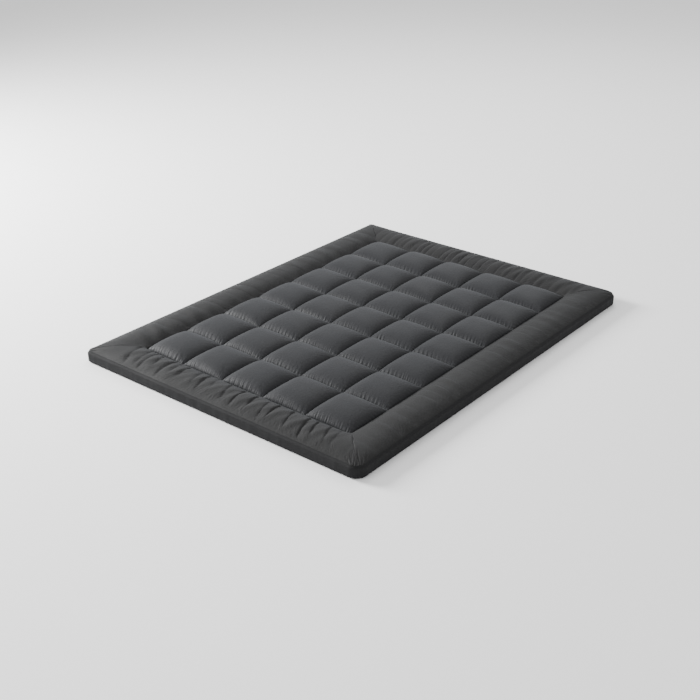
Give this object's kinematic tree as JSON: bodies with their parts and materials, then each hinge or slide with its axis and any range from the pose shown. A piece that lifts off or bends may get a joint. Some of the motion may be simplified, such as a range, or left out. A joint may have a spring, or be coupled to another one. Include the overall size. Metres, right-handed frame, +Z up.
{
  "type": "futon mattress",
  "caption": "Thin quilted futon mattress with puffed boxes inside a wide padded border and a smooth side band. Folds in thirds.",
  "frame": {"origin": "on the floor, under the middle of the mattress lying flat", "axes": "+X along the short side, +Y along the long side from foot to head, +Z up out of the quilted top"},
  "size_m": [1.524, 2.032, 0.082],
  "materials": {
    "quilt_fabric": "brushed microfibre with a soft sheen",
    "border_fabric": "brushed microfibre, gathered",
    "band_fabric": "smooth woven cloth",
    "base_fabric": "plain woven cloth",
    "thread": "matt polyester thread",
    "backing_fabric": "thin non-woven sheet",
    "fibre_fill": "loose polyester fibre",
    "foam": "open-cell foam"
  },
  "bodies": {
    "foot_third": {"foot_base_cover": "base_fabric", "foot_foam_core": "foam", "foot_quilt_backing": "backing_fabric", "foot_side_band": "band_fabric", "foot_border_fill": "fibre_fill", "foot_border_cover": "border_fabric", "foot_quilt_cover": "quilt_fabric", "foot_quilt_thread": "thread", "box_fill_r1_c1": "fibre_fill", "box_fill_r1_c2": "fibre_fill", "box_fill_r1_c3": "fibre_fill", "box_fill_r1_c4": "fibre_fill", "box_fill_r1_c5": "fibre_fill", "box_fill_r2_c1": "fibre_fill", "box_fill_r2_c2": "fibre_fill", "box_fill_r2_c3": "fibre_fill", "box_fill_r2_c4": "fibre_fill", "box_fill_r2_c5": "fibre_fill"},
    "middle_third": {"middle_base_cover": "base_fabric", "middle_foam_core": "foam", "middle_quilt_backing": "backing_fabric", "middle_side_band": "band_fabric", "middle_border_fill": "fibre_fill", "middle_border_cover": "border_fabric", "middle_quilt_cover": "quilt_fabric", "middle_quilt_thread": "thread", "box_fill_r3_c1": "fibre_fill", "box_fill_r3_c2": "fibre_fill", "box_fill_r3_c3": "fibre_fill", "box_fill_r3_c4": "fibre_fill", "box_fill_r3_c5": "fibre_fill", "box_fill_r4_c1": "fibre_fill", "box_fill_r4_c2": "fibre_fill", "box_fill_r4_c3": "fibre_fill", "box_fill_r4_c4": "fibre_fill", "box_fill_r4_c5": "fibre_fill", "box_fill_r5_c1": "fibre_fill", "box_fill_r5_c2": "fibre_fill", "box_fill_r5_c3": "fibre_fill", "box_fill_r5_c4": "fibre_fill", "box_fill_r5_c5": "fibre_fill"},
    "head_third": {"head_base_cover": "base_fabric", "head_foam_core": "foam", "head_quilt_backing": "backing_fabric", "head_side_band": "band_fabric", "head_border_fill": "fibre_fill", "head_border_cover": "border_fabric", "head_quilt_cover": "quilt_fabric", "head_quilt_thread": "thread", "box_fill_r6_c1": "fibre_fill", "box_fill_r6_c2": "fibre_fill", "box_fill_r6_c3": "fibre_fill", "box_fill_r6_c4": "fibre_fill", "box_fill_r6_c5": "fibre_fill", "box_fill_r7_c1": "fibre_fill", "box_fill_r7_c2": "fibre_fill", "box_fill_r7_c3": "fibre_fill", "box_fill_r7_c4": "fibre_fill", "box_fill_r7_c5": "fibre_fill"}
  },
  "joints": [
    {"name": "first_fold", "type": "hinge", "parent": "foot_third", "child": "middle_third", "pos_m": [0, -0.35529, 0.085], "axis": [1, 0, 0], "range_deg": [0, 179.5]},
    {"name": "second_fold", "type": "hinge", "parent": "middle_third", "child": "head_third", "pos_m": [0, 0.35529, -0.0005], "axis": [-1, 0, 0], "range_deg": [0, 179.5]}
  ],
  "couplings": [
    {"joint": "second_fold", "follows": "first_fold", "ratio": 1}
  ]
}
